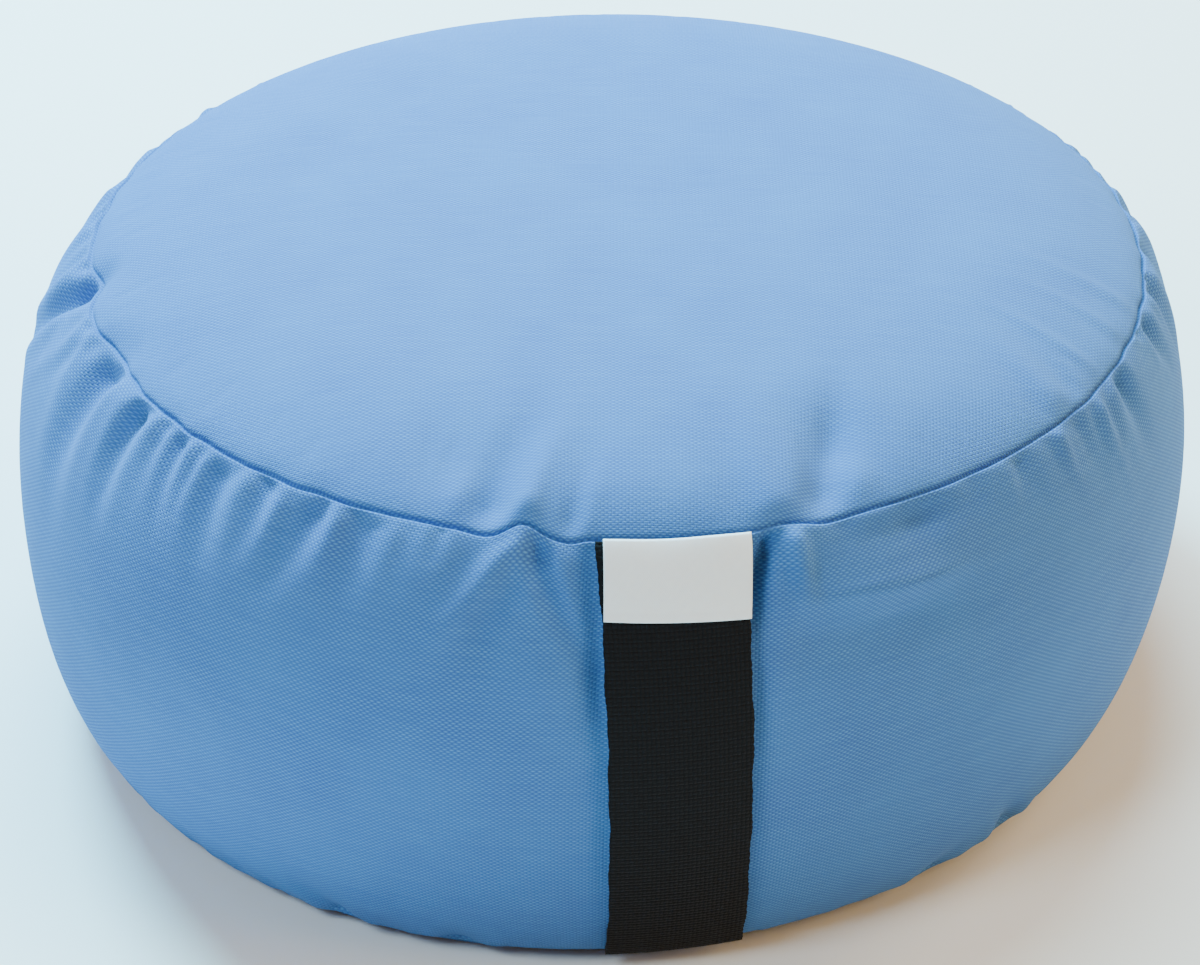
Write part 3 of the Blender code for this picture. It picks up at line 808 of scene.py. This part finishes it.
# %% Label
LABEL_WIDTH, LABEL_DROP, LABEL_THICK = 0.0381, 0.0210, 0.0006
LABEL_SHIFT, LABEL_ASKEW = 0.0020, 0.0016  # how far right it sits, and how much longer its right edge is
LABEL_SQUARE = 0.75  # the share of that shift that is gone at its lower edge
LABEL_LIFT = 0.0001  # between it and the webbing, beside the usual gap
RIPPLE_DEEP, RIPPLE_REACH = 0.0003, 0.005
CREASE_UP, CREASE_DEEP, CREASE_WIDE = 0.0024, 0.00012, 0.0006


def label_place(column, row):
    """Where the label lies and its place in the weave, for shares of its width and length."""
    drop = LABEL_DROP + LABEL_ASKEW * (column - 0.5)
    down = SEAM_TUCK + (drop - SEAM_TUCK) * row
    across = LABEL_SHIFT * (1 - LABEL_SQUARE * row) + (column - 0.5) * LABEL_WIDTH
    ripple = RIPPLE_DEEP * np.sin(9 * column + 1) * np.exp(-((down / RIPPLE_REACH) ** 2))
    crease = CREASE_DEEP * np.exp(-(((down - drop + CREASE_UP) / CREASE_WIDE) ** 2))
    lift = 2 * PIECE_GAP + WEBBING_THICK + LABEL_LIFT + ripple - crease
    return band_place(across, down, lift), np.c_[across, -down]


label = grid_sheet("satin_label", 60, 40, label_place)
thicken(label, LABEL_THICK)
print("label", round(MM * LABEL_WIDTH, 1), "by", round(MM * (LABEL_DROP - SEAM_TUCK), 1), "mm")

# %% [markdown]
# Cloth finishes. Canvas is a plain weave: each lengthwise thread goes over one crosswise thread and under
# the next. An image of cloth would be one way, and geometry for each thread another. Here the threads are
# worked out in the material from the weave map, so they are sharp at any distance and cost no faces.

# %% Material helpers
def cloth(name, rough, specular, sheen, sheen_rough=0.5, tint=(1, 1, 1)):
    """A new material with the numbers that are the same all over it."""
    look = bpy.data.materials.new(name)
    look.use_nodes = True
    shader = look.node_tree.nodes["Principled BSDF"]
    shader.inputs["Roughness"].default_value = rough
    shader.inputs["Specular IOR Level"].default_value = specular
    shader.inputs["Sheen Weight"].default_value = sheen
    shader.inputs["Sheen Roughness"].default_value = sheen_rough
    shader.inputs["Sheen Tint"].default_value = (*tint, 1)
    return look, look.node_tree, shader


def link(tree, value, socket):
    """Feeds a socket from another one, or sets it to a plain value."""
    if isinstance(value, bpy.types.NodeSocket):
        tree.links.new(value, socket)
    else:
        socket.default_value = value


def calc(tree, operation, *values):
    """One Math node, and its result."""
    node = tree.nodes.new("ShaderNodeMath")
    node.operation = operation
    for value, socket in zip(values, node.inputs):
        link(tree, value, socket)
    return node.outputs[0]


def blotches(tree, vector, scale, detail=2.0, stretch=(1, 1, 1)):
    """Soft random patches from about 0.3 to 0.7, `scale` of them in a metre."""
    spread = tree.nodes.new("ShaderNodeVectorMath")
    spread.operation = "MULTIPLY"
    tree.links.new(vector, spread.inputs[0])
    spread.inputs[1].default_value = stretch
    noise = tree.nodes.new("ShaderNodeTexNoise")
    noise.inputs["Scale"].default_value = scale
    noise.inputs["Detail"].default_value = detail
    tree.links.new(spread.outputs[0], noise.inputs["Vector"])
    return noise.outputs["Fac"]


def blend(tree, share, first, second):
    """The first colour where the share is 0, the second where it is 1."""
    node = tree.nodes.new("ShaderNodeMix")
    node.data_type = "RGBA"
    link(tree, share, node.inputs[0])
    for colour, socket in ((first, node.inputs[6]), (second, node.inputs[7])):
        link(tree, (*colour, 1) if isinstance(colour, tuple) else colour, socket)
    return node.outputs[2]


def relief(tree, shader, height, metres, strength):
    """Bump from a height of 0 to 1."""
    bump = tree.nodes.new("ShaderNodeBump")
    bump.inputs["Distance"].default_value = metres
    bump.inputs["Strength"].default_value = strength
    link(tree, height, bump.inputs["Height"])
    tree.links.new(bump.outputs[0], shader.inputs["Normal"])


def threads(tree, warp, weft, waver=0.25):
    """Heights, from 0 to 1, of the lengthwise and crosswise threads of a plain weave, and its vector."""
    place = tree.nodes.new("ShaderNodeUVMap")
    place.uv_map = "weave"
    parts = tree.nodes.new("ShaderNodeSeparateXYZ")
    tree.links.new(place.outputs[0], parts.inputs[0])
    counts = []
    # threads are counted across each way, and drift off straight in patches of a centimetre or so
    for way, pitch, patches in ((0, warp, 90), (1, weft, 70)):
        drift = calc(tree, "MULTIPLY", blotches(tree, place.outputs[0], patches), waver)
        counts.append(calc(tree, "MULTIPLY_ADD", parts.outputs[way], 1 / pitch, drift))
    across, down = counts
    heights = []
    for own, other, side in ((across, down, 0), (down, across, 1)):
        number = calc(tree, "ROUND", own)
        turn = calc(tree, "ADD", number, other)
        turn = calc(tree, "ADD", turn, side)
        wave = calc(tree, "COSINE", calc(tree, "MULTIPLY", turn, math.pi))
        over = calc(tree, "MULTIPLY_ADD", wave, 0.5, 0.5)
        off = calc(tree, "SUBTRACT", own, number)
        body = calc(tree, "COSINE", calc(tree, "MULTIPLY", off, math.pi))
        heights.append(calc(tree, "MULTIPLY", body, over))
    return heights[0], heights[1], place.outputs[0]


# %% Canvas
INCH = 0.0254
WARP, WEFT = 0.00094, 0.00064  # from one thread to the next
CANVAS_RELIEF = 0.00022, 0.7  # how high the threads stand, and how strongly it shows
GROUND, TIPS = (0.044, 0.108, 0.330), (0.104, 0.284, 0.565)  # between the threads, and on top of them
WORN, WORN_PATCHES = (0.072, 0.255, 0.560), 28  # the patches in a metre
SLUBS = (60, 1100, 1)  # thick places in the crosswise yarn, in a metre along it and across it


def canvas(name):
    """Blue canvas, paler where a crosswise thread lies on top, with slubs and soft worn patches."""
    look, tree, shader = cloth(
        name, rough=0.95, specular=0.15, sheen=0.05, sheen_rough=0.4, tint=(0.5, 0.8, 1.0)
    )
    warp, weft, place = threads(tree, WARP, WEFT)
    slub = blotches(tree, place, 1.0, stretch=SLUBS)
    pale = calc(tree, "MULTIPLY", weft, calc(tree, "MULTIPLY_ADD", slub, 1.2, 0.3))
    colour = blend(tree, pale, GROUND, TIPS)
    wear = calc(tree, "MULTIPLY_ADD", blotches(tree, place, WORN_PATCHES, 3.0), 0.5, -0.12)
    colour = blend(tree, wear, colour, WORN)
    tree.links.new(colour, shader.inputs["Base Color"])
    relief(tree, shader, calc(tree, "MAXIMUM", warp, weft), *CANVAS_RELIEF)
    return look


for panel_name in ("top panel canvas", "side band canvas", "base panel canvas"):
    cover_mesh.materials.append(canvas(panel_name))
print("canvas with", round(INCH / WARP), "by", round(INCH / WEFT), "threads to the inch")

# %% Webbing and satin
WEBBING_WARP, WEBBING_RELIEF = 0.0012, (0.0004, 0.8)
WEBBING_GROUND, WEBBING_TIPS = (0.005, 0.005, 0.006), (0.011, 0.010, 0.012)
SATIN_WARP, SATIN_WEFT, SATIN_RELIEF = 0.00028, 0.00045, (0.00008, 0.5)
SATIN_DIM, SATIN_BRIGHT = (0.90, 0.92, 0.98), (0.97, 0.98, 1.0)
STRAIGHT = 0.1  # narrow weaves keep their threads straighter than canvas does


def webbing_look():
    """Matt black webbing, its coarse threads dusted with paler fuzz."""
    look, tree, shader = cloth("black webbing", rough=0.85, specular=0.12, sheen=0.02)
    warp, weft, place = threads(tree, WEBBING_WARP, PICK / 2, STRAIGHT)
    height = calc(tree, "MAXIMUM", warp, weft)
    fuzz = calc(tree, "MULTIPLY", height, blotches(tree, place, 900))
    colour = blend(tree, fuzz, WEBBING_GROUND, WEBBING_TIPS)
    tree.links.new(colour, shader.inputs["Base Color"])
    relief(tree, shader, height, *WEBBING_RELIEF)
    return look


def satin_look():
    """White satin, with only its lengthwise threads standing up."""
    look, tree, shader = cloth("white satin", rough=0.38, specular=0.5, sheen=0.2)
    warp, weft, place = threads(tree, SATIN_WARP, SATIN_WEFT, STRAIGHT)
    colour = blend(tree, blotches(tree, place, 500), SATIN_DIM, SATIN_BRIGHT)
    tree.links.new(colour, shader.inputs["Base Color"])
    relief(tree, shader, warp, *SATIN_RELIEF)
    return look


webbing.data.materials.append(webbing_look())
label.data.materials.append(satin_look())
print("finishes:", [look.name for look in bpy.data.materials if look.users])

# %% [markdown]
# A plain pale floor and soft studio light. Two large cool lights behind the cushion, one to the left and
# one overhead, light the top and leave the front in soft shade, so that every fold under the seam shows.
# A weaker one from the front left opens that shade, and warm ones from the right give the far side its
# greyer blue.

# %% Floor
FLOOR_HALF, FLOOR_DROP = 6, 0.0003  # half its width, and how far under the base it lies
FLOOR_COLOUR, FLOOR_ROUGH = (0.92, 0.90, 0.88, 1), 0.8

bm = bmesh.new()
bmesh.ops.create_grid(bm, x_segments=1, y_segments=1, size=FLOOR_HALF)
bmesh.ops.translate(bm, verts=bm.verts[:], vec=(0, 0, -FLOOR_DROP))
floor_mesh = bpy.data.meshes.new("studio_floor")
bm.to_mesh(floor_mesh)
bm.free()
floor = bpy.data.objects.new("studio_floor", floor_mesh)
bpy.context.collection.objects.link(floor)
floor_look = bpy.data.materials.new("pale floor")
floor_look.use_nodes = True
floor_shader = floor_look.node_tree.nodes["Principled BSDF"]
floor_shader.inputs["Base Color"].default_value = FLOOR_COLOUR
floor_shader.inputs["Roughness"].default_value = FLOOR_ROUGH
floor_mesh.materials.append(floor_look)
print("floor", 2 * FLOOR_HALF, "m wide")

# %% Lights
ROOM_COLOUR, ROOM_STRENGTH = (1.0, 0.70, 0.33, 1), 0.23
LIGHTS = [
    # name, turn and rise in degrees, distance and size in metres, watts, colour
    ("key, back left", -151, 47, 1.4, 0.5, 76, (0.24, 0.75, 1.0)),
    ("overhead", 176, 67, 1.7, 0.9, 50, (0.50, 0.85, 1.0)),
    ("soft, left", -50, 46, 1.6, 0.5, 15, (0.66, 0.87, 1.0)),
    ("warm, right", 66, 29, 1.7, 1.0, 17, (1.0, 0.64, 0.26)),
    ("behind, right", 118, 20, 1.6, 0.7, 19, (1.0, 0.78, 0.50)),
]
for name, turn, rise, away, size, watts, colour in LIGHTS:
    lamp = bpy.data.objects.new(name, bpy.data.lights.new(name, "AREA"))
    lamp.data.shape, lamp.data.size = "DISK", size
    lamp.data.energy, lamp.data.color = watts, colour
    lamp.location = CAMERA_AIM + back_vector(math.radians(turn), math.radians(rise)) * away
    lamp.rotation_euler = (CAMERA_AIM - lamp.location).to_track_quat("-Z", "Y").to_euler()
    bpy.context.collection.objects.link(lamp)

world = bpy.data.worlds.new("studio")
bpy.context.scene.world = world
world.use_nodes = True
world.node_tree.nodes["Background"].inputs["Color"].default_value = ROOM_COLOUR
world.node_tree.nodes["Background"].inputs["Strength"].default_value = ROOM_STRENGTH
print(len(LIGHTS), "soft lights")

# %% [markdown]
# Last, each piece is tied to the part: it rides on the root body, and the solid it stands for is hidden.

# %% Tie the pieces to the part
TIES = ((cover, "cushion", "canvas"), (webbing, "handle", "webbing"), (label, "label", "satin"))
for piece, node, finish in TIES:
    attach(piece, "root")
    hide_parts(node)
